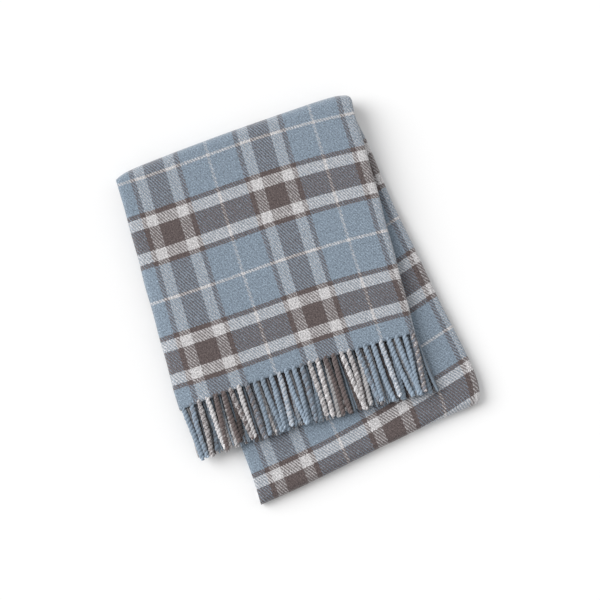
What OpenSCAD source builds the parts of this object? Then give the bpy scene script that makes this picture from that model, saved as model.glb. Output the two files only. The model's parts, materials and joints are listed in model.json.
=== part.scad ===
// Fringed plaid throw blanket, folded for a shelf or the end of a bed.
//
// The cloth is folded twice along its length into a strip four leaves thick, the strip is
// folded in half, and its fringed end is then turned over at the top as a flap.
// The base panel and the flap are both eight leaves thick.
//
// The origin is the centre of the base panel's flat underside. +X runs across the panel
// towards the double fold, +Y along it towards the top fold, and +Z up.

/* [Cloth] */
// Width of the cloth, from selvedge to selvedge
cloth_w = 1270; // [1240:5:1290]
// Thickness of one leaf of the brushed twill
cloth_t = 2.1; // [1.6:0.1:2.4]

/* [Folded stack] */
// Width of the folded stack
stack_w = 325; // [318:1:328]
// Length of the base panel, from the end fold to the top fold
base_len = 469; // [440:1:500]
// Length of the turned-over flap, from the top fold to the hem
flap_len = 336; // [300:1:350]
// Slope of the top fold, off square to the base panel
fold_skew = 3.4; // [0:0.1:4]
// Slope of the flap's sides, off the length of the base panel
flap_lean = 9; // [6:0.5:10]
// Slope of the hem, off square to the base panel
hem_slope = 5.8; // [5:0.1:7]
// Clearance between the base panel and the flap that lies on it
lay_gap = 0.4; // [0.3:0.1:0.8]
// Clearance between the top bends and the leaves of the flap
turn_gap = 0.3; // [0.2:0.1:0.5]

/* [Fringe] */
// Length of a tassel
tassel_len = 76; // [60:1:90]
// Width of a tassel where it lies pressed between its neighbours
tassel_w = 5; // [4:0.1:6]
// Thickness of a tassel where it lies pressed between its neighbours
tassel_t = 2; // [1.5:0.1:2]
// Number of tassels across a bundle
bundle_tassels = 6; // [5:1:7]
// Clearance between the hem and the roots of the tassels
root_gap = 0.5; // [0.4:0.1:1]

/* [Hidden] */

// Facets of a full circle, for the round folds and bends
round_fn = 48;

// Leaves in one strip, and in the two strips that lie on each other
strip_leaves = 4;
stack_leaves = 2 * strip_leaves;
strip_h = strip_leaves * cloth_t;
stack_h = stack_leaves * cloth_t;

// Leaf numbers from the underside up: leaf 1 is the outer one, 2 to 4 lie inside the folds
leaf_order = [1, 4, 3, 2, 2, 3, 4, 1];

// Where the width folds turn: folds A and C at the right side, fold B at the left
fold_right = stack_w / 2 - 2 * cloth_t;
fold_left = -stack_w / 2 + cloth_t;

// Cloth that leaf 4 has left once the other three leaves and their folds are made
leaf_4_w = cloth_w - (fold_right + stack_w / 2) - 2 * (fold_right - fold_left) - 2.5 * PI * cloth_t;

// Left end of a leaf, by its number; every leaf ends at fold_right on the right
function leaf_left(leaf) = leaf == 1 ? -stack_w / 2 : leaf == 4 ? fold_right - leaf_4_w : fold_left;

// Radius of the top fold, and the height of its centre
top_r = stack_h + lay_gap / 2;
top_z = stack_h + lay_gap / 2;

// Line along the base panel where the end bends start, and the centre of the top fold on the Y axis
end_y = -base_len / 2 + stack_h / 2;
top_y = base_len / 2 - top_r / cos(fold_skew);

// The flap's own frame: its origin is the middle of the top fold, and Q runs from there to the hem
fold_in_flap = flap_lean - fold_skew;
hem_in_flap = flap_lean - hem_slope;
hem_q = flap_len - top_r / cos(fold_in_flap);
flap_z = stack_h + lay_gap;

// Length along the base panel where the top fold crosses a place across it, and on the flap where
// its leaves start and end
function top_at(x) = top_y - x * tan(fold_skew);
function fold_at(p) = turn_gap / cos(fold_in_flap) - p * tan(fold_in_flap);
function hem_at(p) = hem_q - p * tan(hem_in_flap);

// Bundles that the fringe parts into, the tassels across one leaf, and their spacing
bundle_count = 5;
leaf_tassels = bundle_count * bundle_tassels;
tassel_pitch = stack_w / leaf_tassels;
function tassel_p(i) = -stack_w / 2 + (i + 0.5) * tassel_pitch;

// Ends of the width folds on the base panel, and on the flap
base_right_top = top_at(stack_w / 2);
base_left_top = top_at(fold_left);
flap_right_top = -fold_at(fold_right);
flap_left_top = -fold_at(-stack_w / 2);
flap_right_hem = -hem_at(fold_right);
flap_left_hem = -hem_at(fold_left);

// Colours of the outer leaf, the inner leaves, the folds and the fringe
outer_blue = "#8D9CA8";
inner_brown = "#75706F";
fold_white = "#C9CBCF";
fringe_grey = "#9AA3AA";

// A half tube along Y that bulges towards +X: the round of a fold
module fold_tube(r_in, r_out, from, to) {
    translate([0, to, 0])
        rotate([90, 0, 0])
            linear_extrude(to - from)
                intersection() {
                    difference() {
                        circle(r_out, $fn = round_fn);
                        if (r_in > 0) circle(r_in, $fn = round_fn);
                    }
                    translate([0, -r_out]) square([r_out, 2 * r_out]);
                }
}

// The same half tube along X, bulging towards +Y: the round of a bend
module bend_tube(r_in, r_out, from, to) {
    rotate([0, 0, 90]) fold_tube(r_in, r_out, -to, -from);
}

// One leaf of the base panel; its level counts up from the underside
module base_leaf(level) {
    leaf = leaf_order[level - 1];
    left = leaf_left(leaf);
    color(leaf == 1 ? outer_blue : inner_brown)
        translate([0, 0, (level - 1) * cloth_t])
            linear_extrude(cloth_t)
                polygon([
                    [left, end_y], [fold_right, end_y],
                    [fold_right, top_at(fold_right)], [left, top_at(left)]
                ]);
}

// One leaf of the flap, from the top fold to the hem
module flap_leaf(level) {
    leaf = leaf_order[level - 1];
    left = leaf_left(leaf);
    color(leaf == 1 ? outer_blue : inner_brown)
        in_flap()
            translate([0, 0, (level - 1) * cloth_t])
                linear_extrude(cloth_t)
                    polygon([
                        [left, -hem_at(left)], [fold_right, -hem_at(fold_right)],
                        [fold_right, -fold_at(fold_right)], [left, -fold_at(left)]
                    ]);
}

// Places its children in the flap's own frame, with -Q along Y
module in_flap() {
    translate([0, top_y, flap_z]) rotate([0, 0, -flap_lean]) children();
}

// Fold A, from the outer leaf 1 round the right side to leaf 2
module fold_a(strip, from, to) {
    translate([fold_right, 0, (strip + 0.5) * strip_h]) fold_tube(cloth_t, 2 * cloth_t, from, to);
}

// Fold C, inside fold A, from leaf 4 to leaf 3
module fold_c(strip, from, to) {
    translate([fold_right, 0, (strip + 0.5) * strip_h]) fold_tube(0, cloth_t, from, to);
}

// Fold B at the left side, from leaf 2 to leaf 3, next to the middle of the stack
module fold_b(strip, from, to) {
    z = stack_h / 2 + (strip == 0 ? -1 : 1) * cloth_t;
    translate([fold_left, 0, z]) mirror([1, 0, 0]) fold_tube(0, cloth_t, from, to);
}

// One bend of the end fold, counted from the inside out: it joins the two strips
module end_bend(n) {
    leaf = leaf_order[strip_leaves - n];
    color(leaf == 1 ? outer_blue : inner_brown)
        translate([0, end_y, stack_h / 2])
            mirror([0, 1, 0])
                bend_tube((n - 1) * cloth_t, n * cloth_t, leaf_left(leaf), fold_right);
}

// One bend of the top fold, counted from the inside out: it joins the base panel and the flap
module top_bend(n) {
    leaf = leaf_order[stack_leaves - n];
    r_in = lay_gap / 2 + (n - 1) * cloth_t;
    color(leaf == 1 ? fold_white : inner_brown)
        translate([0, top_y, top_z])
            rotate([0, 0, -fold_skew])
                bend_tube(r_in, r_in + cloth_t, leaf_left(leaf), fold_right);
}

// The tassels of one strip of the flap that belong to one bundle, each a separate flat rope
module fringe(strip, bundle) {
    color(fringe_grey)
        in_flap()
            for (level = [0 : strip_leaves - 1]) {
                leaf = leaf_order[strip * strip_leaves + level];
                for (k = [0 : bundle_tassels - 1]) {
                    p = tassel_p((bundle - 1) * bundle_tassels + k);
                    if (p - tassel_w / 2 > leaf_left(leaf))
                        translate([
                            p - tassel_w / 2,
                            -hem_at(p) - root_gap - tassel_len,
                            (strip * strip_leaves + level) * cloth_t
                        ])
                            cube([tassel_w, tassel_len, tassel_t]);
                }
            }
}

// Leaves of the base panel, from the underside up
base_leaf(1);  // base_lower_leaf_1
base_leaf(2);  // base_lower_leaf_4
base_leaf(3);  // base_lower_leaf_3
base_leaf(4);  // base_lower_leaf_2
base_leaf(5);  // base_upper_leaf_2
base_leaf(6);  // base_upper_leaf_3
base_leaf(7);  // base_upper_leaf_4
base_leaf(8);  // base_upper_leaf_1

// Width folds of the base panel
color(fold_white) fold_a(0, end_y, base_right_top);  // base_lower_fold_a
color(fold_white) fold_b(0, end_y, base_left_top);  // base_lower_fold_b
color(fold_white) fold_c(0, end_y, base_right_top);  // base_lower_fold_c
color(fold_white) fold_a(1, end_y, base_right_top);  // base_upper_fold_a
color(fold_white) fold_b(1, end_y, base_left_top);  // base_upper_fold_b
color(fold_white) fold_c(1, end_y, base_right_top);  // base_upper_fold_c

// Bends of the end fold, from the inside out
end_bend(1);  // end_bend_1
end_bend(2);  // end_bend_2
end_bend(3);  // end_bend_3
end_bend(4);  // end_bend_4

// Bends of the top fold, from the inside out
top_bend(1);  // top_bend_1
top_bend(2);  // top_bend_2
top_bend(3);  // top_bend_3
top_bend(4);  // top_bend_4
top_bend(5);  // top_bend_5
top_bend(6);  // top_bend_6
top_bend(7);  // top_bend_7
top_bend(8);  // top_bend_8

// Leaves of the flap, from the underside up
flap_leaf(1);  // flap_lower_leaf_1
flap_leaf(2);  // flap_lower_leaf_4
flap_leaf(3);  // flap_lower_leaf_3
flap_leaf(4);  // flap_lower_leaf_2
flap_leaf(5);  // flap_upper_leaf_2
flap_leaf(6);  // flap_upper_leaf_3
flap_leaf(7);  // flap_upper_leaf_4
flap_leaf(8);  // flap_upper_leaf_1

// Width folds of the flap
color(fold_white) in_flap() fold_a(0, flap_right_hem, flap_right_top);  // flap_lower_fold_a
color(fold_white) in_flap() fold_b(0, flap_left_hem, flap_left_top);  // flap_lower_fold_b
color(fold_white) in_flap() fold_c(0, flap_right_hem, flap_right_top);  // flap_lower_fold_c
color(fold_white) in_flap() fold_a(1, flap_right_hem, flap_right_top);  // flap_upper_fold_a
color(fold_white) in_flap() fold_b(1, flap_left_hem, flap_left_top);  // flap_upper_fold_b
color(fold_white) in_flap() fold_c(1, flap_right_hem, flap_right_top);  // flap_upper_fold_c

// Tassels along the hem, in bundles from left to right
fringe(0, 1);  // fringe_lower_1
fringe(0, 2);  // fringe_lower_2
fringe(0, 3);  // fringe_lower_3
fringe(0, 4);  // fringe_lower_4
fringe(0, 5);  // fringe_lower_5
fringe(1, 1);  // fringe_upper_1
fringe(1, 2);  // fringe_upper_2
fringe(1, 3);  // fringe_upper_3
fringe(1, 4);  // fringe_upper_4
fringe(1, 5);  // fringe_upper_5
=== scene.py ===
"""Folded plaid throw blanket with a twisted fringe.

The cloth is one length of brushed twill. It is folded in four across its width, then in half,
and its fringed end is turned over at the top as a flap. Each piece below is a run of that one
cloth: a run's cross-section, the width folds, is the same everywhere, and the run takes it down
the panel and round the bends.
"""

import json
import math

import bpy
import numpy as np
from bpy.props import FloatProperty, FloatVectorProperty, IntProperty, PointerProperty
from mathutils import Matrix, Vector

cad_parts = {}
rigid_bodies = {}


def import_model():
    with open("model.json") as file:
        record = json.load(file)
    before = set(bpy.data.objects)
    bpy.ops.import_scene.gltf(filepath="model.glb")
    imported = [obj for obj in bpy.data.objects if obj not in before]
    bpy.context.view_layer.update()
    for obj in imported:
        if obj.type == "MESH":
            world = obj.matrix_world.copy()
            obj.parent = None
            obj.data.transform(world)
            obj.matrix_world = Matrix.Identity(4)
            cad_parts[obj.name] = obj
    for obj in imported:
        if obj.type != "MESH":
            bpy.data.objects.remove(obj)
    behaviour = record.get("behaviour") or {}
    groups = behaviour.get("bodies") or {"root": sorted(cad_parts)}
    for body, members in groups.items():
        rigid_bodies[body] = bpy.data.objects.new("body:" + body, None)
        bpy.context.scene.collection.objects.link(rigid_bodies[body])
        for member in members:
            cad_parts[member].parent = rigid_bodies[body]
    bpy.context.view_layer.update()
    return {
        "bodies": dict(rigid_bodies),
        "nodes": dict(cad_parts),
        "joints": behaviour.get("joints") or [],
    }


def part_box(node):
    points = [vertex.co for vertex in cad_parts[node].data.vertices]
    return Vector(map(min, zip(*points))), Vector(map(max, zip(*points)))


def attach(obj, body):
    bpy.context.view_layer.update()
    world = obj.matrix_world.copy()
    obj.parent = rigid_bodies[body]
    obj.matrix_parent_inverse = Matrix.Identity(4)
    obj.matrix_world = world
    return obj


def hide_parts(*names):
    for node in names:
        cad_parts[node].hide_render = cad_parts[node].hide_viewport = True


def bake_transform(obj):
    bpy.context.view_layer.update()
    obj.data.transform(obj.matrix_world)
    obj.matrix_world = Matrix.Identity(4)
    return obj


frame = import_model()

bl_info = {
    "name": "Folded Plaid Throw",
    "version": (1, 0, 0),
    "blender": (4, 5, 0),
    "location": "View3D > Sidebar > Throw",
    "description": "Builds a folded plaid throw blanket with a twisted fringe",
    "category": "Object",
}

MM = 0.001

# ---------------------------------------------------------------------------------------------
# Places and sizes that the frame gives
# ---------------------------------------------------------------------------------------------

JOINTS = {joint["name"]: joint for joint in frame["joints"]}
TOP_AXIS = JOINTS["flap_open"]
HEM_AXIS = JOINTS["fringe_1_lift"]
BUNDLES = [name for name in frame["bodies"] if name.startswith("fringe_")]

LEAF_LOW, LEAF_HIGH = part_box("base_upper_leaf_1")
LEAF_T = LEAF_HIGH.z - LEAF_LOW.z
STRIP_H = 4 * LEAF_T
STACK_H = 2 * STRIP_H
FOLD_RIGHT = LEAF_HIGH.x
LEAF_LEFT = {leaf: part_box(f"base_upper_leaf_{leaf}")[0].x for leaf in (1, 2, 3, 4)}
STACK_W = -2 * LEAF_LEFT[1]
END_Y = LEAF_LOW.y
FLAP_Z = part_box("flap_lower_leaf_1")[0].z

# The top fold: its slope off square, its radius, and its centre line's place on the Y axis
SKEW = math.atan2(TOP_AXIS["axis"][1], -TOP_AXIS["axis"][0])
TOP_R = TOP_AXIS["pos_m"][2]
TOP_Y = TOP_AXIS["pos_m"][1] - TOP_R / math.cos(SKEW)

# The flap's own frame: P across it, Q from the top fold down to the hem
HEM_ROOT = Vector(HEM_AXIS["pos_m"])
HEM_Q = math.hypot(HEM_ROOT.x, TOP_Y - HEM_ROOT.y)
LEAN = math.atan2(-HEM_ROOT.x, TOP_Y - HEM_ROOT.y)
HEM_SLOPE = math.atan2(HEM_AXIS["axis"][1], -HEM_AXIS["axis"][0])
FOLD_TAN = math.tan(LEAN - SKEW)
HEM_TAN = math.tan(LEAN - HEM_SLOPE)

# Leaf numbers from the underside of a panel up, and the tassels across one leaf
LEAF_ORDER = (1, 4, 3, 2, 2, 3, 4, 1)
BUNDLE_TASSELS = 6
TASSEL_PITCH = STACK_W / (BUNDLE_TASSELS * len(BUNDLES))


def linear(code):
    """An sRGB hex colour as linear red, green and blue."""
    values = [int(code[i : i + 2], 16) / 255 for i in (1, 3, 5)]
    return tuple(v / 12.92 if v <= 0.04045 else ((v + 0.055) / 1.055) ** 2.4 for v in values)


# ---------------------------------------------------------------------------------------------
# Settings
# ---------------------------------------------------------------------------------------------


class ThrowCloth(bpy.types.PropertyGroup):
    """Sizes of the cloth and of how softly it lies."""

    thickness: FloatProperty(
        name="Thickness",
        description="Thickness of one leaf, a little less than the space it lies in",
        default=1.96 * MM,
        unit="LENGTH",
    )
    step: FloatProperty(
        name="Mesh step",
        description="Spacing of the mesh on the leaves that show",
        default=5 * MM,
        unit="LENGTH",
    )
    hidden_step: FloatProperty(
        name="Hidden mesh step",
        description="Spacing of the mesh on the leaves inside the folds",
        default=16 * MM,
        unit="LENGTH",
    )
    swell: FloatProperty(
        name="Swell",
        description="Height of the soft waves that the stacked leaves make",
        default=0.55 * MM,
        unit="LENGTH",
    )
    edge_sink: FloatProperty(
        name="Edge sink",
        description="Share of its height that a panel loses along its sides",
        default=0.09,
        subtype="FACTOR",
    )
    row_bow: FloatProperty(
        name="Row bow",
        description="How far the middle of the flap is drawn up towards the top fold",
        default=4.5 * MM,
        unit="LENGTH",
    )
    droop: FloatProperty(
        name="Droop",
        description="How far the flap's free corner hangs below the base panel's top",
        default=8 * MM,
        unit="LENGTH",
    )


class ThrowPlaid(bpy.types.PropertyGroup):
    """Colours of the yarns."""

    blue: FloatVectorProperty(
        name="Blue yarn",
        description="Slate blue of the ground and of the selvedges",
        subtype="COLOR",
        default=linear("#8492A0"),
    )
    brown: FloatVectorProperty(
        name="Brown yarn",
        description="Warm grey-brown of the wide and the narrow bands",
        subtype="COLOR",
        default=linear("#605655"),
    )
    white: FloatVectorProperty(
        name="White yarn",
        description="Natural white of the bands and of the fine lines",
        subtype="COLOR",
        default=linear("#C8C6C7"),
    )


class ThrowFringe(bpy.types.PropertyGroup):
    """Sizes of the tassels."""

    length: FloatProperty(
        name="Length",
        description="Length of a tassel from the hem to its cut end",
        default=75 * MM,
        unit="LENGTH",
    )
    ply_radius: FloatProperty(
        name="Ply radius",
        description="Radius of one of the two plies of a tassel",
        default=2.3 * MM,
        unit="LENGTH",
    )
    ply_offset: FloatProperty(
        name="Ply offset",
        description="Distance of a ply's middle from the tassel's middle",
        default=1.55 * MM,
        unit="LENGTH",
    )
    twist: FloatProperty(
        name="Twist",
        description="Length of one full turn of the two plies",
        default=10.5 * MM,
        unit="LENGTH",
    )
    seed: IntProperty(
        name="Seed",
        description="Choice of how the tassels lean and how long each one is",
        default=7,
    )


class ThrowStage(bpy.types.PropertyGroup):
    """The camera, the floor and the light."""

    distance: FloatProperty(
        name="Camera distance",
        description="Distance of the camera from the throw",
        default=1.995,
        unit="LENGTH",
    )
    tilt: FloatProperty(
        name="Camera tilt",
        description="How far the camera's view is off straight down",
        default=math.radians(10),
        subtype="ANGLE",
    )
    turn: FloatProperty(
        name="Camera turn",
        description="How far the throw is turned in the camera's view",
        default=math.radians(24),
        subtype="ANGLE",
    )
    lens: FloatProperty(
        name="Lens",
        description="Focal length in millimetres",
        default=90,
        subtype="DISTANCE_CAMERA",
    )
    floor: FloatVectorProperty(
        name="Floor colour",
        description="Colour of the plain floor",
        subtype="COLOR",
        default=linear("#F7F7F7"),
    )
    light: FloatProperty(
        name="Softbox",
        description="Strength of the softbox at the upper left, in watts per square metre",
        default=2.6,
    )
    softness: FloatProperty(
        name="Softness",
        description="Angle that the softbox fills, seen from the throw",
        default=math.radians(50),
        subtype="ANGLE",
    )
    fill: FloatProperty(
        name="Fill",
        description="Strength of the even light from all sides",
        default=0.6,
    )


# ---------------------------------------------------------------------------------------------
# The folded cloth
# ---------------------------------------------------------------------------------------------


def waves(a, b, length, seed, count=5):
    """A soft uneven surface from -1 to 1 over a and b, with waves of about this length."""
    draw = np.random.default_rng(seed)
    total = np.zeros(np.broadcast(a, b).shape)
    for _ in range(count):
        heading, phase = draw.uniform(0, math.tau, 2)
        size = length * draw.uniform(0.7, 1.6)
        total = total + np.sin(math.tau * (a * math.cos(heading) + b * math.sin(heading)) / size + phase)
    return total / count


def blend_in(value, low, high):
    """0 below low, 1 above high, and a smooth rise between them."""
    t = np.clip((value - low) / (high - low), 0, 1)
    return t * t * (3 - 2 * t)


def section(cloth):
    """The folded strip's cross-section, as places across the cloth, across the panel and up.

    Up is the height above the strip's inner face, where leaf 2 lies. From the left selvedge the
    cloth runs through leaf 1, fold A, leaf 2, fold B, leaf 3, fold C and leaf 4.
    """
    t = LEAF_T

    def leaf(start, end, height, step):
        count = max(2, math.ceil(abs(end - start) / step))
        x = np.linspace(start, end, count + 1)
        return np.stack([x, np.full_like(x, height)], axis=1)

    def fold(x, height, radius, side, rising, count):
        turn = np.linspace(-math.pi / 2, math.pi / 2, count + 1)[1:-1]
        turn = turn if rising else -turn
        return np.stack([x + side * radius * np.cos(turn), height + radius * np.sin(turn)], axis=1)

    fold_left = LEAF_LEFT[2]
    path = np.concatenate(
        [
            leaf(LEAF_LEFT[1], FOLD_RIGHT, 3.5 * t, cloth.step),
            fold(FOLD_RIGHT, 2 * t, 1.5 * t, 1, False, 10),
            leaf(FOLD_RIGHT, fold_left, 0.5 * t, cloth.hidden_step),
            fold(fold_left, t, 0.5 * t, -1, True, 6),
            leaf(fold_left, FOLD_RIGHT, 1.5 * t, cloth.hidden_step),
            fold(FOLD_RIGHT, 2 * t, 0.5 * t, 1, True, 6),
            leaf(FOLD_RIGHT, LEAF_LEFT[4], 2.5 * t, cloth.hidden_step),
        ]
    )
    across = np.concatenate([[0], np.cumsum(np.linalg.norm(np.diff(path, axis=0), axis=1))])
    return across, path[:, 0], path[:, 1]


def side_sink(across, cloth):
    """Share of its height that a panel keeps, by the place across it."""
    inset = np.clip(STACK_W / 2 - np.abs(across), 0, None)
    return 1 - cloth.edge_sink * np.exp(-inset / (6 * MM))


# How far the right side of the base panel bulges, in millimetres, by the place along the panel
RIGHT_SIDE = (
    (-0.245, -0.235, -0.225, -0.21, -0.188, -0.14, -0.1, -0.055)
    + (-0.01, 0.03, 0.08, 0.124, 0.154, 0.185, 0.23),
    (-12, -8, -2, 2.5, 4.5, 1.7, 0, -1) + (-2.9, -3.7, -4.4, -3, -2.3, -4, -7),
)


def base_place(x, y, z, cloth):
    """Where a point of the neatly folded base panel really lies.

    The panel spreads a little towards the top fold, has a waist at its left side above the end
    fold, and its leaves swell and sink softly.
    """
    up_panel = (y + STACK_W * 0.72) / (STACK_W * 1.44)
    waist = np.clip(up_panel, 0, None) / 0.2 * np.exp(1 - np.clip(up_panel, 0, None) / 0.2)
    left = np.clip(-2 * x / STACK_W, 0, 1) ** 2
    right = np.clip(2 * x / STACK_W, 0, 1) ** 2 * np.interp(y, RIGHT_SIDE[0], RIGHT_SIDE[1]) * MM
    edge = 0.8 * MM * waves(y, 0 * y, 90 * MM, 3) * np.abs(2 * x / STACK_W) ** 3
    moved_x = x * (1 + 0.0766 * y) + 0.0064 * y + (7 * waist - 2) * MM * left + right + edge
    heel = 5 * blend_in(x, -0.07, 0.03) + 1.2 * waves(x, 0 * x, 110 * MM, 4)
    moved_y = y + heel * MM * blend_in(-y, 0.1, 0.235)
    swell = cloth.swell * waves(x, y, 105 * MM, 11)
    moved_z = z * side_sink(x, cloth) + swell * z / STACK_H
    return np.stack(np.broadcast_arrays(moved_x, moved_y, moved_z), axis=-1)


def flap_place(p, q, z, cloth):
    """Where a point of the neatly folded flap really lies, in the row frame.

    The flap narrows a little towards the hem, its middle is drawn up, its free corner droops over
    the base panel's side, and it follows the swell of the base panel that it lies on.
    """
    bowed = q - cloth.row_bow * (1 - (2 * p / STACK_W) ** 2)
    edge = 0.9 * MM * waves(q, 0 * q, 80 * MM, 5) * np.abs(2 * p / STACK_W) ** 3
    spread = 1 + 0.0766 * TOP_Y - 0.0994 * np.clip(q, 0, None)
    moved_p = p * spread + edge + 0.0064 * TOP_Y - 2.8 * MM * np.clip(-2 * p / STACK_W, 0, 1) ** 2
    moved_p = moved_p - 3 * MM * np.clip(2 * p / STACK_W, 0, 1) ** 4 * np.exp(-np.abs(q) / 0.05)
    x = moved_p * math.cos(LEAN) - bowed * math.sin(LEAN)
    y = TOP_Y - moved_p * math.sin(LEAN) - bowed * math.cos(LEAN)
    hem_sink = 1 - 0.5 * cloth.edge_sink * np.exp(-np.clip(HEM_Q - q, 0, None) / (9 * MM))
    lift = z - FLAP_Z
    swell = cloth.swell * (waves(x, y, 105 * MM, 11) + 0.8 * waves(x, y, 80 * MM, 12) * lift / STACK_H)
    sag = cloth.droop * blend_in(-STACK_W / 2 - x, 0, 60 * MM)
    moved_z = FLAP_Z + lift * side_sink(p, cloth) * hem_sink + swell - sag
    return np.stack(np.broadcast_arrays(x, y, moved_z), axis=-1)


def top_at(x):
    """Where the base panel's leaves reach the top fold."""
    return TOP_Y - x * math.tan(SKEW)


# Each run's places along the cloth, from the visible hem: the flap's upper strip, the outer half
# of the top fold, the base panel's lower strip, the end fold, the base panel's upper strip, the
# inner half of the top fold, and the flap's lower strip
OUTER_FOLD_V = 50 * MM
BASE_FOOT_V = 843.2 * MM
END_FOLD_V = 23 * MM
BASE_GROWTH = 1.0215
INNER_FOLD_V = 2 * TOP_R

# Straight cloth at each side of the top fold that is made with the fold
SEAM = 4 * MM


def hem_to_fold(p):
    """Length of the flap from the hem to the top fold."""
    return HEM_Q - p * HEM_TAN + p * FOLD_TAN


# How far the flap's weft stripes are drawn up, in millimetres, by the place across the flap
DRAWN_UP = (
    (-0.1625, -0.13, -0.09, -0.056, -0.015, 0.02, 0.09, 0.1625),
    (5.2, 2, 0.4, 0, 0.6, 1.6, 2.4, 2),
)


def flap_v(p, share):
    """Place along the cloth on the flap: share is 0 at the top fold and 1 at the hem."""
    arch = 3.5 * MM * (1 - (2 * p / STACK_W) ** 2) * (1 - share)
    v = (1 - share) * hem_to_fold(p) - arch
    return v - np.interp(p, DRAWN_UP[0], DRAWN_UP[1]) * MM - 3.8 * MM * np.exp(-((v / 0.06) ** 2))


def drawn_aside(across, along):
    """How far the flap's warp stripes are drawn sideways, by the place in the cloth."""
    v = np.clip(along, 0, 0.335)
    return (6.6 - 69 * v + 90 * v**2) * MM * (1 - np.exp(-across / 0.06))


def base_v(x, y):
    """Place along the cloth on the base panel's upper strip, whose rows turn up at the right."""
    reach = np.clip((x + STACK_W / 2 - 76 * MM) / (244 * MM), 0, 1)
    turned = 24.2 * MM * (1 - reach**2)
    return BASE_FOOT_V + END_FOLD_V + BASE_GROWTH * (y - END_Y) + turned


def make_sheet(name, grids, cloth, material):
    """A closed sheet of the cloth's thickness, from grids of places and of cloth coordinates."""
    places, coordinates, faces, start = [], [], [], 0
    for place, cloth_uv in grids:
        rows, columns = place.shape[:2]
        index = start + np.arange(rows * columns).reshape(rows, columns)
        corners = [index[:-1, :-1], index[1:, :-1], index[1:, 1:], index[:-1, 1:]]
        faces.append(np.stack(corners, axis=-1).reshape(-1, 4))
        places.append(place.reshape(-1, 3))
        coordinates.append(cloth_uv.reshape(-1, 2))
        start += rows * columns
    faces = np.concatenate(faces)
    mesh = bpy.data.meshes.new(name)
    mesh.from_pydata(np.concatenate(places).tolist(), [], faces.tolist())
    layer = mesh.uv_layers.new(name="cloth")
    layer.data.foreach_set("uv", np.concatenate(coordinates)[faces.ravel()].astype(np.float32).ravel())
    mesh.shade_smooth()
    mesh.materials.append(material)
    sheet = bpy.data.objects.new(name, mesh)
    bpy.context.scene.collection.objects.link(sheet)
    solidify = sheet.modifiers.new("thickness", "SOLIDIFY")
    solidify.thickness = cloth.thickness
    solidify.offset = 0
    return sheet


def panel_grids(cloth, side, aside=0):
    """The lower and upper strips of a panel, each as a grid of the section along the panel.

    side takes the share of the length, the section and the strip's sign, -1 for the lower strip
    and 1 for the upper one, and returns places and places along the cloth. aside is the share of
    the sideways drawing that the upper strip's stripes take.
    """
    across, x, height = section(cloth)
    grids = []
    for sign, step in ((-1, cloth.hidden_step), (1, cloth.step)):
        # A very narrow first row keeps the cut edge's rounded shading off the cloth
        share = np.insert(np.linspace(0, 1, math.ceil(0.45 / step)), 1, 0.0005)[:, None]
        place, along = side(share, x[None, :], height[None, :], sign)
        stripes = across[None, :] - (aside if sign > 0 else 0) * drawn_aside(across[None, :], along)
        uv = np.stack(np.broadcast_arrays(stripes, along), axis=-1)
        grids.append((place, uv))
    return grids


def base_strip(share, x, height, sign, cloth):
    """A strip of the base panel, from the end fold to the seam below the top fold."""
    y = END_Y + share * (top_at(x) - SEAM - END_Y)
    place = base_place(x, y, STRIP_H + sign * height, cloth)
    if sign > 0:
        return place, base_v(x, y) + 0 * height
    low = hem_to_fold(x) + OUTER_FOLD_V
    return place, BASE_FOOT_V + (base_v(x, END_Y) - BASE_FOOT_V - END_FOLD_V) + share * (low - BASE_FOOT_V)


def end_bend(cloth):
    """The end fold, from the lower strip to the upper one."""
    across, x, height = section(cloth)
    turn = np.linspace(0, math.pi, 15)[:, None]
    y = END_Y - height[None, :] * np.sin(turn)
    place = base_place(x[None, :], y, STRIP_H - height[None, :] * np.cos(turn), cloth)
    along = base_v(x[None, :], END_Y) - END_FOLD_V * (1 - turn / math.pi) + 0 * height[None, :]
    return place, np.stack(np.broadcast_arrays(across[None, :] + 0 * along, along), axis=-1)


def flap_strip(share, p, height, sign, cloth):
    """A strip of the flap, from the seam past the top fold to the hem."""
    fold = -p * FOLD_TAN
    hem = HEM_Q - p * HEM_TAN
    q = fold + SEAM + share * (hem - fold - SEAM)
    place = flap_place(p, q, FLAP_Z + STRIP_H + sign * height, cloth)
    if sign > 0:
        return place, flap_v(p, (q - fold) / (hem - fold)) + 0 * height
    return place, base_v(p, top_at(p)) + INNER_FOLD_V + (q - fold) + 0 * height


def joined(first, second):
    """Two grids that share a row, as one."""
    return tuple(np.concatenate([a, b[1:]]) for a, b in zip(first, second))


def base_grid(cloth):
    """The base panel as one grid: up the lower strip reversed, the end fold, the upper strip."""
    lower, upper = panel_grids(cloth, lambda s, x, h, sign: base_strip(s, x, h, sign, cloth))
    lower = tuple(part[::-1] for part in lower)
    return joined(joined(lower, end_bend(cloth)), upper)


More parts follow.
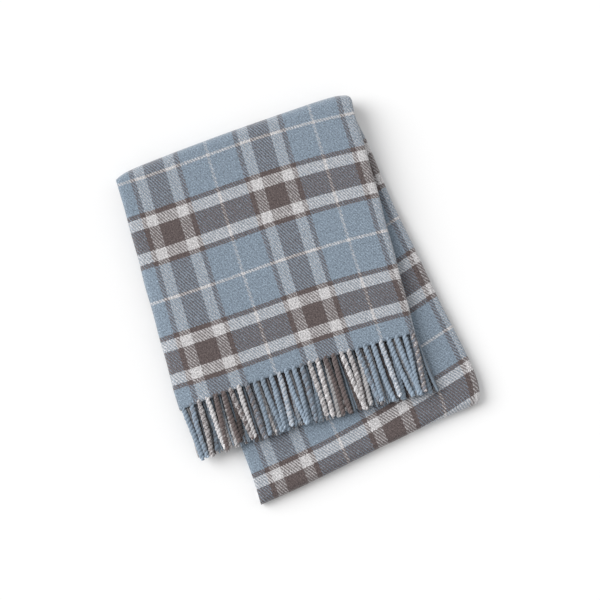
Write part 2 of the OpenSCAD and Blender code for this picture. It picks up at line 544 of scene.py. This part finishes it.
def top_fold_grid(cloth, sign, segments):
    """Half of the top fold: sign 1 is the inner half, from the base's upper strip."""
    across, x, height = section(cloth)
    x, height = x[None, :], height[None, :]
    base_z = STRIP_H + sign * height
    flap_z = FLAP_Z + STRIP_H - sign * height
    foot = base_place(x, top_at(x), base_z, cloth)
    head = flap_place(x, -x * FOLD_TAN, flap_z, cloth)
    below = base_place(x, top_at(x) - SEAM, base_z, cloth)
    beyond = [flap_place(x, -x * FOLD_TAN + SEAM * part, flap_z, cloth) for part in (0.5, 0.96, 1)]
    middle, reach = (foot + head) / 2, (head - foot) / 2
    radius = np.linalg.norm(reach, axis=-1, keepdims=True)
    inset = np.clip(STACK_W / 2 - np.abs(x), 0, None)[..., None]
    corner = 0.95 - 0.4 * np.exp(-inset / (11 * MM)) * np.clip(radius / TOP_R, 0, 1)
    outward = np.array([math.sin(SKEW), math.cos(SKEW), 0])
    turn = np.linspace(0, math.pi, segments + 1)[:, None, None]
    arc = middle - np.cos(turn) * reach + np.sin(turn) * radius * corner * outward
    place = np.concatenate([below, arc, *beyond])
    # The rows of the base panel's half stay below the axis height and the flap's rows above it
    half = 1 + (segments + 1) // 2
    place[:half, :, 2] = np.minimum(place[:half, :, 2], TOP_R - 0.05 * MM)
    place[half:, :, 2] = np.maximum(place[half:, :, 2], TOP_R + 0.05 * MM)
    share = (turn / math.pi)[..., 0]
    if sign > 0:
        # Cloth that the closed fold tucks away, and that shows when the flap is opened
        share = np.round(share)
    stripes = across[None, :] + 0 * share
    if sign < 0:
        stripes = stripes - share * drawn_aside(stripes, flap_v(x, 0 * x))
    stripes = np.concatenate([stripes[:1], stripes, *[stripes[-1:]] * 3])
    if sign > 0:
        start, end = base_v(x, top_at(x)), base_v(x, top_at(x)) + INNER_FOLD_V
        edge = (start - BASE_GROWTH * SEAM, SEAM)
    else:
        start, end = hem_to_fold(x) + OUTER_FOLD_V, flap_v(x, 0 * x)
        edge = (start + SEAM, -SEAM)
    straight = [end + edge[1] * part for part in (0.5, 0.96, 1)]
    along = np.concatenate([edge[0], start + share * (end - start), *straight])
    along = along + 0 * height
    return place, np.stack(np.broadcast_arrays(stripes, along), axis=-1)


# ---------------------------------------------------------------------------------------------
# Materials
# ---------------------------------------------------------------------------------------------


def add(tree, kind, inputs=None, **settings):
    """Adds a node to a tree, with its settings, and its inputs set by value or linked."""
    node = tree.nodes.new(kind)
    for name, value in settings.items():
        setattr(node, name, value)
    for key, value in (inputs or {}).items():
        if isinstance(value, bpy.types.Node):
            value = value.outputs[0]
        if isinstance(value, bpy.types.NodeSocket):
            tree.links.new(value, node.inputs[key])
        else:
            node.inputs[key].default_value = value
    return node


def new_material(name):
    """An empty material with its output and its shader."""
    material = bpy.data.materials.new(name)
    material.use_nodes = True
    tree = material.node_tree
    tree.nodes.clear()
    shader = add(tree, "ShaderNodeBsdfPrincipled")
    add(tree, "ShaderNodeOutputMaterial", {"Surface": shader})
    return material, tree, shader


# Stripes of the warp and of the weft from the middle of a group outwards, as the place in
# millimetres where each starts. The last is half a repeat away, a fine line of its own.
WARP_CENTRE, WARP_HALF = 53.4, 72.85
WARP_STRIPES = ((0, "brown"), (13.9, "white"), (28.2, "brown"), (34.8, "blue"), (70.6, "white"))
WEFT_CENTRE, WEFT_HALF = 55.5, 83.1
WEFT_STRIPES = ((0, "brown"), (15.4, "white"), (30.3, "brown"), (37, "blue"), (81, "white"))


def stripe_colour(tree, place, centre, half, stripes, plaid):
    """Yarn colour by the place in millimetres across a mirrored repeat of stripes."""
    centred = add(tree, "ShaderNodeMath", {0: place, 1: centre}, operation="SUBTRACT")
    away = add(tree, "ShaderNodeMath", {0: centred, 1: half}, operation="PINGPONG")
    share = add(tree, "ShaderNodeMath", {0: away, 1: half}, operation="DIVIDE")
    ramp = add(tree, "ShaderNodeValToRGB", {0: share})
    ramp.color_ramp.interpolation = "CONSTANT"
    while len(ramp.color_ramp.elements) < len(stripes):
        ramp.color_ramp.elements.new(0.5)
    for element, (start, yarn) in zip(ramp.color_ramp.elements, stripes):
        element.position = start / half
        element.color = (*getattr(plaid, yarn), 1)
    return ramp


def brushed_plaid_twill(plaid):
    """Brushed 2/2 twill of wool-like yarn, woven in a plaid and raised.

    Woven diagonally, so where two colours cross the eye sees slanting lines of both. Brushed, so
    the lines are soft, edges of stripes are fuzzy, and a pale haze of fibres shows at grazing
    angles. It has no gloss at all.
    """
    material, tree, shader = new_material("brushed_plaid_twill")
    uv = add(tree, "ShaderNodeUVMap", uv_map="cloth")
    place = add(tree, "ShaderNodeVectorMath", {0: uv, "Scale": 1000.0}, operation="SCALE")
    # Yarns wander by about half a thread
    wander = add(
        tree, "ShaderNodeTexNoise", {"Vector": place, "Scale": 0.45, "Detail": 2.0}, noise_dimensions="2D"
    )
    centred = add(
        tree, "ShaderNodeVectorMath", {0: wander.outputs["Color"], 1: (0.5, 0.5, 0.5)}, operation="SUBTRACT"
    )
    shift = add(tree, "ShaderNodeVectorMath", {0: centred, "Scale": 2.2}, operation="SCALE")
    moved = add(tree, "ShaderNodeVectorMath", {0: place, 1: shift}, operation="ADD")
    parts = add(tree, "ShaderNodeSeparateXYZ", {0: moved})
    across, along = parts.outputs[0], parts.outputs[1]
    warp = stripe_colour(tree, across, WARP_CENTRE, WARP_HALF, WARP_STRIPES, plaid)
    weft = stripe_colour(tree, along, WEFT_CENTRE, WEFT_HALF, WEFT_STRIPES, plaid)
    # Twill lines: one every 3.7 mm across and every 6.4 mm along, steep because the picks are thicker
    across_lines = add(tree, "ShaderNodeMath", {0: across, 1: 3.7}, operation="DIVIDE")
    along_lines = add(tree, "ShaderNodeMath", {0: along, 1: 6.4}, operation="DIVIDE")
    line = add(tree, "ShaderNodeMath", {0: across_lines, 1: along_lines}, operation="ADD")
    # Raised fibres of about 2 mm blur the lines' edges and speckle their colour
    nap = add(
        tree,
        "ShaderNodeTexNoise",
        {"Vector": place, "Scale": 0.5, "Detail": 4.0, "Roughness": 0.7},
        noise_dimensions="2D",
    )
    ragged = add(tree, "ShaderNodeMath", {0: nap, 1: 0.3, 2: line}, operation="MULTIPLY_ADD")
    swing = add(tree, "ShaderNodeMath", {0: ragged, 1: 0.5}, operation="PINGPONG")
    # 0 in the middle of a warp line, 0.5 in the middle of a weft line. The thicker picks cover
    # two thirds, and the raised fibres carry some of each colour over the other.
    warp_up = add(
        tree,
        "ShaderNodeMapRange",
        {"Value": swing, "From Min": 0.06, "From Max": 0.26, "To Min": 0.86, "To Max": 0.11},
        interpolation_type="SMOOTHSTEP",
    )
    woven = add(
        tree, "ShaderNodeMix", {"Factor": warp_up, 6: weft, 7: warp}, data_type="RGBA", blend_type="MIX"
    )
    # Brushing drags fibres of the darker yarn over the paler one
    darker = add(
        tree, "ShaderNodeMix", {"Factor": 1.0, 6: weft, 7: warp}, data_type="RGBA", blend_type="DARKEN"
    )
    brushed = add(
        tree,
        "ShaderNodeMix",
        {"Factor": 0.2, 6: woven.outputs[2], 7: darker.outputs[2]},
        data_type="RGBA",
        blend_type="MIX",
    )
    # Floats are rounded: the bump below gives their relief, and the colour takes a painted highlight along
    # their middle and painted shade in the groove between two lines
    groove_place = add(tree, "ShaderNodeMath", {0: swing, 1: 0.2}, operation="SUBTRACT")
    groove_away = add(tree, "ShaderNodeMath", {0: groove_place}, operation="ABSOLUTE")
    rounded = add(
        tree,
        "ShaderNodeMapRange",
        {"Value": groove_away, "From Min": 0.0, "From Max": 0.13, "To Min": 0.0, "To Max": 1.0},
        interpolation_type="SMOOTHSTEP",
    )
    # Single threads of 0.92 mm warp and 1.6 mm weft, only seen from near
    ends = add(tree, "ShaderNodeMath", {0: across, 1: 0.46}, operation="PINGPONG")
    picks = add(tree, "ShaderNodeMath", {0: along, 1: 0.8}, operation="PINGPONG")
    thread = add(
        tree, "ShaderNodeMix", {"Factor": warp_up, 2: picks, 3: ends}, data_type="FLOAT"
    )
    # Wisps of about 4 mm where the nap lies this way or that
    wisps = add(
        tree,
        "ShaderNodeTexNoise",
        {"Vector": place, "Scale": 0.2, "Detail": 2.0, "Distortion": 0.6},
        noise_dimensions="2D",
    )
    tone_nap = add(
        tree,
        "ShaderNodeMapRange",
        {"Value": nap, "From Min": 0.25, "From Max": 0.75, "To Min": 0.42, "To Max": 1.58},
    )
    tone_wisps = add(
        tree,
        "ShaderNodeMapRange",
        {"Value": wisps, "From Min": 0.25, "From Max": 0.75, "To Min": 0.93, "To Max": 1.07},
    )
    # Painted shade darkens the colour in the grooves and a painted highlight lightens it along the floats'
    # middles
    painted_groove_shade = add(
        tree,
        "ShaderNodeMapRange",
        {"Value": rounded, "From Min": 0.0, "From Max": 1.0, "To Min": 0.58, "To Max": 1.16},
    )
    tone = add(tree, "ShaderNodeMath", {0: tone_nap, 1: tone_wisps}, operation="MULTIPLY")
    tone = add(tree, "ShaderNodeMath", {0: tone, 1: painted_groove_shade}, operation="MULTIPLY")
    colour = add(tree, "ShaderNodeVectorMath", {0: brushed.outputs[2], "Scale": tone}, operation="SCALE")
    tree.links.new(colour.outputs[0], shader.inputs["Base Color"])
    relief = add(tree, "ShaderNodeMath", {0: rounded, 1: 0.5}, operation="MULTIPLY")
    relief = add(tree, "ShaderNodeMath", {0: nap, 1: 0.9, 2: relief}, operation="MULTIPLY_ADD")
    relief = add(tree, "ShaderNodeMath", {0: thread, 1: 0.25, 2: relief}, operation="MULTIPLY_ADD")
    bump = add(
        tree, "ShaderNodeBump", {"Height": relief, "Strength": 0.8, "Distance": 0.6 * MM}
    )
    tree.links.new(bump.outputs[0], shader.inputs["Normal"])
    shader.inputs["Roughness"].default_value = 0.95
    shader.inputs["Specular IOR Level"].default_value = 0.15
    shader.inputs["Sheen Weight"].default_value = 0.7
    shader.inputs["Sheen Roughness"].default_value = 0.4
    return material


def two_ply_yarn(plaid):
    """Warp yarn of the same wool-like fibre, twisted by the bundle into two-ply tassels.

    Each ply holds the yarns of its own few millimetres of warp, so a tassel at a stripe's edge is
    a spiral of two colours. Fibres run along the ply and are rubbed rough, so it has no gloss.
    """
    material, tree, shader = new_material("two_ply_yarn")
    warp_place = add(tree, "ShaderNodeAttribute", attribute_name="warp_place")
    # Painted shade of the lower tassels, with random tone and the paler frayed ends, read from the guides
    shade = add(tree, "ShaderNodeAttribute", attribute_name="shade")
    place = add(tree, "ShaderNodeTexCoord")
    millimetres = add(
        tree, "ShaderNodeVectorMath", {0: place.outputs["Object"], "Scale": 1000.0}, operation="SCALE"
    )
    fibres = add(
        tree, "ShaderNodeTexNoise", {"Vector": millimetres, "Scale": 0.8, "Detail": 4.0, "Roughness": 0.6}
    )
    # Neighbouring yarns mix at random over a few millimetres of warp
    mixing = add(
        tree, "ShaderNodeTexNoise", {"Vector": millimetres, "Scale": 0.5, "Detail": 3.0}
    )
    spread = add(
        tree,
        "ShaderNodeMapRange",
        {"Value": mixing, "From Min": 0.3, "From Max": 0.7, "To Min": -2.6, "To Max": 2.6},
    )
    yarn = add(
        tree, "ShaderNodeMath", {0: warp_place.outputs["Fac"], 1: spread}, operation="ADD"
    )
    beside = add(tree, "ShaderNodeMath", {0: yarn, 1: 5.0}, operation="ADD")
    colour_1 = stripe_colour(tree, yarn, WARP_CENTRE + 2.5, WARP_HALF, WARP_STRIPES, plaid)
    colour_2 = stripe_colour(tree, beside, WARP_CENTRE + 2.5, WARP_HALF, WARP_STRIPES, plaid)
    melange = add(
        tree,
        "ShaderNodeMapRange",
        {"Value": fibres, "From Min": 0.4, "From Max": 0.6, "To Min": 0.2, "To Max": 0.8},
    )
    colour = add(
        tree,
        "ShaderNodeMix",
        {"Factor": melange, 6: colour_1, 7: colour_2},
        data_type="RGBA",
        blend_type="MIX",
    )
    tone_fibres = add(
        tree,
        "ShaderNodeMapRange",
        {"Value": fibres, "From Min": 0.3, "From Max": 0.7, "To Min": 0.7, "To Max": 1.5},
    )
    # The shade attribute multiplies in the painted shade of the lower tassels, random tone and the paler
    # frayed ends
    tone = add(
        tree, "ShaderNodeMath", {0: tone_fibres, 1: shade.outputs["Fac"]}, operation="MULTIPLY"
    )
    toned = add(tree, "ShaderNodeVectorMath", {0: colour.outputs[2], "Scale": tone}, operation="SCALE")
    tree.links.new(toned.outputs[0], shader.inputs["Base Color"])
    bump = add(tree, "ShaderNodeBump", {"Height": fibres, "Strength": 0.8, "Distance": 0.5 * MM})
    tree.links.new(bump.outputs[0], shader.inputs["Normal"])
    shader.inputs["Roughness"].default_value = 0.95
    shader.inputs["Specular IOR Level"].default_value = 0.15
    shader.inputs["Sheen Weight"].default_value = 0.35
    shader.inputs["Sheen Roughness"].default_value = 0.5
    return material


def matt_paper(colour):
    """Matt white background paper: pale, even, with no gloss, so only a soft shadow shows on it."""
    material, tree, shader = new_material("matt_paper")
    place = add(tree, "ShaderNodeTexCoord")
    fibre = add(
        tree,
        "ShaderNodeTexNoise",
        {"Vector": place.outputs["Object"], "Scale": 400.0, "Detail": 3.0},
    )
    bump = add(tree, "ShaderNodeBump", {"Height": fibre, "Strength": 0.05, "Distance": 0.1 * MM})
    tree.links.new(bump.outputs[0], shader.inputs["Normal"])
    shader.inputs["Base Color"].default_value = (*colour, 1)
    shader.inputs["Roughness"].default_value = 0.9
    shader.inputs["Specular IOR Level"].default_value = 0.1
    return material


def cloth_material():
    """The plaid, made once."""
    made = bpy.data.materials.get("brushed_plaid_twill")
    return made or brushed_plaid_twill(bpy.context.scene.throw_plaid)


# ---------------------------------------------------------------------------------------------
# The fringe
# ---------------------------------------------------------------------------------------------

# Panel levels whose tassels show, from above or below; the ones between them are plain
SHOWN_LEVELS = (0, 1, 6, 7)
GUIDE_POINTS = 10
ROOT_DEPTH = 3 * MM


def warp_place(p, leaf):
    """Place across the cloth of a point of one leaf, from the left selvedge."""
    t = LEAF_T
    to_leaf_2 = FOLD_RIGHT - LEAF_LEFT[1] + 1.5 * math.pi * t
    to_leaf_3 = to_leaf_2 + FOLD_RIGHT - LEAF_LEFT[2] + 0.5 * math.pi * t
    to_leaf_4 = to_leaf_3 + FOLD_RIGHT - LEAF_LEFT[3] + 0.5 * math.pi * t
    return {
        1: p - LEAF_LEFT[1],
        2: to_leaf_2 + FOLD_RIGHT - p,
        3: to_leaf_3 + p - LEAF_LEFT[3],
        4: to_leaf_4 + FOLD_RIGHT - p,
    }[leaf]


def tassel_guides(number, fringe, cloth):
    """Middle lines of one bundle's tassels as a mesh of edges, from the hem to the cut ends."""
    draw = np.random.default_rng(fringe.seed + number)
    places, edges, facts = [], [], {"warp_place": [], "phase": [], "shade": [], "front": []}
    for level, leaf in enumerate(LEAF_ORDER):
        offset = 0.0 if level % 2 else 0.5
        for k in range(BUNDLE_TASSELS):
            slot = (number - 1) * BUNDLE_TASSELS + k
            p = -STACK_W / 2 + (slot + 0.5) * TASSEL_PITCH
            chance = draw.uniform(-1, 1, 6)
            if p - TASSEL_PITCH / 4 < LEAF_LEFT[leaf]:
                continue
            root_p = p + (0.5 - offset) * TASSEL_PITCH * 0.9 * (0 if level == 7 else 1)
            root_p = float(np.clip(root_p, LEAF_LEFT[leaf] + 2 * MM, STACK_W / 2 - 2 * MM))
            start = len(places)
            drift = float(waves(np.array(slot + 0.6 * level), 0.0, 9.0, 21))
            lean = math.radians(5.5 - 0.1 * slot + 4 * drift + 3 * chance[0])
            bend = math.radians(5 * chance[1] - 1)
            length = fringe.length * (0.9 + 0.005 * slot + 0.045 * chance[2])
            s = np.linspace(-ROOT_DEPTH, length, GUIDE_POINTS)
            run = np.clip(s / length, 0, 1)
            sway = 0.5 * MM * np.sin(5 * run + 3 * chance[3])
            side = np.clip(s, 0, None) * np.tan(lean + bend * run) + sway
            root = flap_place(
                np.array(root_p), HEM_Q - root_p * HEM_TAN, FLAP_Z + (level + 0.5) * LEAF_T, cloth
            )
            down = np.array([-math.sin(LEAN), -math.cos(LEAN)])
            right = np.array([math.cos(LEAN), -math.sin(LEAN)])
            xy = root[None, :2] + s[:, None] * down + side[:, None] * right
            rest = STACK_H + (2.6 + 1.15 * level - (1.2 if level == 6 else 0)) * MM
            off_base = blend_in(-STACK_W / 2 - xy[:, 0], -4 * MM, 30 * MM) * blend_in(run, 0.15, 0.9)
            settle = blend_in(run, 0.0, 0.85)
            z = root[2] + (rest - root[2]) * settle
            z = z + ((8 + 1.3 * level) * MM - z) * off_base * 0.75 + 0.5 * MM * chance[4] * run
            places += np.column_stack([xy, z]).tolist()
            edges += [(start + i, start + i + 1) for i in range(GUIDE_POINTS - 1)]
            stripe = warp_place(root_p, leaf)
            stripe = stripe - (float(drawn_aside(stripe, 0)) if leaf == 1 else 0)
            facts["warp_place"] += [1000 * stripe] * GUIDE_POINTS
            facts["phase"] += [math.tau * 0.5 * (chance[5] + 1)] * GUIDE_POINTS
            # Painted shade: tassels below the top level are darker, in place of the shade down between the
            # upper ones; pale where the cut ends fray
            shade = (1.0 if level == 7 else 0.62) + 0.12 * chance[3]
            facts["shade"] += [shade] * (GUIDE_POINTS - 1) + [1.35 * shade]
            facts["front"] += [float(level in SHOWN_LEVELS)] * GUIDE_POINTS
    mesh = bpy.data.meshes.new(f"tassel_guides_{number}")
    mesh.from_pydata(places, edges, [])
    for name, values in facts.items():
        mesh.attributes.new(name, "FLOAT", "POINT").data.foreach_set("value", values)
    return mesh


def tassel_tree(material):
    """Geometry nodes that twist two plies round each guide line."""
    tree = bpy.data.node_groups.new("twisted_tassels", "GeometryNodeTree")
    tree.interface.new_socket("Geometry", in_out="INPUT", socket_type="NodeSocketGeometry")
    for name in ("Ply radius", "Ply offset", "Twist", "Ring step"):
        tree.interface.new_socket(name, in_out="INPUT", socket_type="NodeSocketFloat")
    tree.interface.new_socket("Sides", in_out="INPUT", socket_type="NodeSocketInt")
    tree.interface.new_socket("Geometry", in_out="OUTPUT", socket_type="NodeSocketGeometry")
    given = add(tree, "NodeGroupInput").outputs
    front = add(tree, "GeometryNodeInputNamedAttribute", {"Name": "front"}, data_type="FLOAT")
    phase = add(tree, "GeometryNodeInputNamedAttribute", {"Name": "phase"}, data_type="FLOAT")
    warp = add(tree, "GeometryNodeInputNamedAttribute", {"Name": "warp_place"}, data_type="FLOAT")
    shown = add(tree, "FunctionNodeCompare", {0: front, 1: 0.5}, operation="GREATER_THAN")
    parted = add(
        tree,
        "GeometryNodeSeparateGeometry",
        {"Geometry": given["Geometry"], "Selection": shown},
        domain="POINT",
    )
    lines = add(tree, "GeometryNodeMeshToCurve", {"Mesh": parted.outputs[0]})
    smooth = add(tree, "GeometryNodeCurveSplineType", {"Curve": lines}, spline_type="CATMULL_ROM")
    fine = add(
        tree, "GeometryNodeResampleCurve", {"Curve": smooth, "Length": given["Ring step"]}, mode="LENGTH"
    )
    spline = add(tree, "GeometryNodeSplineParameter")
    turn = add(tree, "ShaderNodeMath", {0: spline.outputs["Length"], 1: given["Twist"]}, operation="DIVIDE")
    turn = add(tree, "ShaderNodeMath", {0: turn, 1: math.tau, 2: phase}, operation="MULTIPLY_ADD")
    normal = add(tree, "GeometryNodeInputNormal")
    tangent = add(tree, "GeometryNodeInputTangent")
    binormal = add(tree, "ShaderNodeVectorMath", {0: tangent, 1: normal}, operation="CROSS_PRODUCT")
    # A ply is full from just below the hem, and thins over its cut end
    thick = add(tree, "ShaderNodeFloatCurve", {"Value": spline.outputs["Factor"]})
    for x, y in ((0.0, 0.6), (0.1, 0.92), (0.5, 1.0), (0.9, 0.98), (1.0, 0.4)):
        point = thick.mapping.curves[0].points
        if x in (0.0, 1.0):
            point[0 if x == 0.0 else -1].location = (x, y)
        else:
            point.new(x, y)
    # Hand-twisted plies are thick and thin by turns
    lumps = add(tree, "ShaderNodeTexNoise", {"Scale": 130.0, "Detail": 2.0})
    uneven = add(
        tree,
        "ShaderNodeMapRange",
        {"Value": lumps, "From Min": 0.3, "From Max": 0.7, "To Min": 0.78, "To Max": 1.22},
    )
    radius = add(tree, "ShaderNodeMath", {0: thick, 1: given["Ply radius"]}, operation="MULTIPLY")
    radius = add(tree, "ShaderNodeMath", {0: radius, 1: uneven}, operation="MULTIPLY")
    ring = add(tree, "GeometryNodeCurvePrimitiveCircle", {"Resolution": given["Sides"], "Radius": 1.0})
    plies = []
    for side in (0, 1):
        angle = add(tree, "ShaderNodeMath", {0: turn, 1: side * math.pi}, operation="ADD")
        cosine = add(tree, "ShaderNodeMath", {0: angle}, operation="COSINE")
        sine = add(tree, "ShaderNodeMath", {0: angle}, operation="SINE")
        one = add(tree, "ShaderNodeVectorMath", {0: normal, "Scale": cosine}, operation="SCALE")
        two = add(tree, "ShaderNodeVectorMath", {0: binormal, "Scale": sine}, operation="SCALE")
        both = add(tree, "ShaderNodeVectorMath", {0: one, 1: two}, operation="ADD")
        away = add(tree, "ShaderNodeVectorMath", {0: both, "Scale": given["Ply offset"]}, operation="SCALE")
        wound = add(tree, "GeometryNodeSetPosition", {"Geometry": fine, "Offset": away})
        yarns = add(tree, "ShaderNodeMath", {0: warp, 1: 2.6 * side - 1.3}, operation="ADD")
        named = add(
            tree,
            "GeometryNodeStoreNamedAttribute",
            {"Geometry": wound, "Name": "warp_place", "Value": yarns},
            data_type="FLOAT",
            domain="POINT",
        )
        swept = {"Curve": named, "Profile Curve": ring, "Scale": radius, "Fill Caps": True}
        plies.append(add(tree, "GeometryNodeCurveToMesh", swept))
    # Tassels inside the stack are plain four-sided cords
    plain_lines = add(tree, "GeometryNodeMeshToCurve", {"Mesh": parted.outputs[1]})
    plain_radius = add(tree, "ShaderNodeMath", {0: thick, 1: 1.9 * MM}, operation="MULTIPLY")
    plain_ring = add(tree, "GeometryNodeCurvePrimitiveCircle", {"Resolution": 4, "Radius": 1.0})
    swept = {"Curve": plain_lines, "Profile Curve": plain_ring, "Scale": plain_radius, "Fill Caps": True}
    plain = add(tree, "GeometryNodeCurveToMesh", swept)
    everything = add(tree, "GeometryNodeJoinGeometry")
    for part in (*plies, plain):
        tree.links.new(part.outputs[0], everything.inputs[0])
    soft = add(tree, "GeometryNodeSetShadeSmooth", {"Geometry": everything})
    real = add(tree, "GeometryNodeRealizeInstances", {"Geometry": soft})
    dressed = add(tree, "GeometryNodeSetMaterial", {"Geometry": real, "Material": material})
    add(tree, "NodeGroupOutput", {"Geometry": dressed})
    return tree


def make_bundle(number, tree, fringe, cloth, material):
    """One bundle of tassels as a plain mesh."""
    guides = bpy.data.objects.new("guides", tassel_guides(number, fringe, cloth))
    bpy.context.scene.collection.objects.link(guides)
    modifier = guides.modifiers.new("twist", "NODES")
    modifier.node_group = tree
    sizes = {
        "Ply radius": fringe.ply_radius,
        "Ply offset": fringe.ply_offset,
        "Twist": fringe.twist,
        "Ring step": 1.25 * MM,
        "Sides": 6,
    }
    for item in tree.interface.items_tree:
        if item.name in sizes:
            modifier[item.identifier] = sizes[item.name]
    evaluated = guides.evaluated_get(bpy.context.evaluated_depsgraph_get())
    mesh = bpy.data.meshes.new_from_object(evaluated)
    bpy.data.objects.remove(guides)
    mesh.name = f"tassels_{number}"
    mesh.materials.clear()
    mesh.materials.append(material)
    bundle = bpy.data.objects.new(f"tassels_{number}", mesh)
    bpy.context.scene.collection.objects.link(bundle)
    return bundle


# ---------------------------------------------------------------------------------------------
# Operators
# ---------------------------------------------------------------------------------------------


class THROW_OT_base_panel(bpy.types.Operator):
    """Make the base panel: eight leaves, their width folds and the end fold"""

    bl_idname = "throw.base_panel"
    bl_label = "Base Panel"

    def execute(self, context):
        cloth = context.scene.throw_cloth
        piece = make_sheet("base_panel", [base_grid(cloth)], cloth, cloth_material())
        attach(piece, "root")
        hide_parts(*[n for n in frame["nodes"] if n.startswith(("base_", "end_bend_"))])
        return {"FINISHED"}


class THROW_OT_flap(bpy.types.Operator):
    """Make the turned-over flap: eight leaves and their width folds"""

    bl_idname = "throw.flap"
    bl_label = "Flap"

    def execute(self, context):
        cloth = context.scene.throw_cloth
        grids = panel_grids(cloth, lambda s, p, h, sign: flap_strip(s, p, h, sign, cloth), 1)
        piece = make_sheet("flap_panel", grids, cloth, cloth_material())
        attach(piece, "flap")
        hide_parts(*[n for n in frame["nodes"] if n.startswith("flap_")])
        return {"FINISHED"}


class THROW_OT_top_fold(bpy.types.Operator):
    """Make the top fold, where the base panel turns over into the flap"""

    bl_idname = "throw.top_fold"
    bl_label = "Top Fold"

    def execute(self, context):
        cloth = context.scene.throw_cloth
        # Odd numbers of segments keep every point off the height where the two bodies part
        grids = [top_fold_grid(cloth, 1, 7), top_fold_grid(cloth, -1, 15)]
        piece = make_sheet("top_fold", grids, cloth, cloth_material())
        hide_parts(*[n for n in frame["nodes"] if n.startswith("top_bend_")])
        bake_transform(piece)
        return {"FINISHED"}


class THROW_OT_fringe(bpy.types.Operator):
    """Make the twisted tassels along the hem, in five bundles"""

    bl_idname = "throw.fringe"
    bl_label = "Fringe"

    def execute(self, context):
        scene = context.scene
        yarn = two_ply_yarn(scene.throw_plaid)
        tree = tassel_tree(yarn)
        for number, body in enumerate(sorted(BUNDLES), start=1):
            piece = make_bundle(number, tree, scene.throw_fringe, scene.throw_cloth, yarn)
            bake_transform(piece)
            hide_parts(f"fringe_lower_{number}", f"fringe_upper_{number}")
        return {"FINISHED"}


class THROW_OT_stage(bpy.types.Operator):
    """Make the camera, the pale floor and the soft light"""

    bl_idname = "throw.stage"
    bl_label = "Stage"

    def execute(self, context):
        stage = context.scene.throw_stage
        # The view is aimed near the origin, where the middle of the throw lies
        aim = Vector((-7.1, -8.1, 0.0)) * MM
        up = Vector((math.sin(stage.turn), math.cos(stage.turn), 0))
        back = Vector((0, 0, math.cos(stage.tilt))) - math.sin(stage.tilt) * up
        camera = bpy.data.objects.new("camera", bpy.data.cameras.new("camera"))
        context.scene.collection.objects.link(camera)
        right = up.cross(back).normalized()
        turn = Matrix((right, back.cross(right), back)).transposed().to_4x4()
        camera.matrix_world = Matrix.Translation(aim + back * stage.distance) @ turn
        camera.data.lens = stage.lens
        camera.data.sensor_width = 36
        context.scene.camera = camera

        half = 3.0
        corners = [(-half, -half, 0), (half, -half, 0), (half, half, 0), (-half, half, 0)]
        mesh = bpy.data.meshes.new("floor")
        mesh.from_pydata(corners, [], [(0, 1, 2, 3)])
        mesh.materials.append(matt_paper(stage.floor))
        floor = bpy.data.objects.new("floor", mesh)
        context.scene.collection.objects.link(floor)

        # A far, wide softbox to the upper left lights the whole floor evenly
        softbox = bpy.data.objects.new("softbox", bpy.data.lights.new("softbox", "SUN"))
        softbox.data.angle = stage.softness
        softbox.data.energy = stage.light
        softbox.rotation_euler = Vector((1.0, -0.75, -0.95)).to_track_quat("-Z", "Y").to_euler()
        context.scene.collection.objects.link(softbox)

        world = bpy.data.worlds.new("studio")
        world.use_nodes = True
        backdrop = world.node_tree.nodes["Background"]
        backdrop.inputs["Color"].default_value = (1, 1, 1, 1)
        backdrop.inputs["Strength"].default_value = stage.fill
        context.scene.world = world
        context.scene.view_settings.view_transform = "Standard"
        return {"FINISHED"}


class THROW_PT_panel(bpy.types.Panel):
    """The steps and settings of the throw"""

    bl_idname = "THROW_PT_panel"
    bl_label = "Folded Throw"
    bl_space_type = "VIEW_3D"
    bl_region_type = "UI"
    bl_category = "Throw"

    def draw(self, context):
        for operator in OPERATORS:
            self.layout.operator(operator.bl_idname)
        for name in SETTINGS:
            group = getattr(context.scene, name)
            box = self.layout.box()
            for setting in group.bl_rna.properties:
                if not setting.is_readonly and setting.identifier != "name":
                    box.prop(group, setting.identifier)


OPERATORS = (
    THROW_OT_stage,
    THROW_OT_base_panel,
    THROW_OT_flap,
    THROW_OT_top_fold,
    THROW_OT_fringe,
)
SETTINGS = {
    "throw_cloth": ThrowCloth,
    "throw_plaid": ThrowPlaid,
    "throw_fringe": ThrowFringe,
    "throw_stage": ThrowStage,
}


def register():
    for item in (*SETTINGS.values(), *OPERATORS, THROW_PT_panel):
        bpy.utils.register_class(item)
    for name, group in SETTINGS.items():
        setattr(bpy.types.Scene, name, PointerProperty(type=group))


def unregister():
    for name in SETTINGS:
        delattr(bpy.types.Scene, name)
    for item in (THROW_PT_panel, *reversed(OPERATORS), *reversed(SETTINGS.values())):
        bpy.utils.unregister_class(item)


def main():
    """Builds the throw."""
    register()
    bpy.ops.throw.stage()
    bpy.ops.throw.base_panel()
    bpy.ops.throw.flap()
    bpy.ops.throw.top_fold()
    bpy.ops.throw.fringe()
    bpy.context.view_layer.update()


if __name__ == "__main__":
    main()
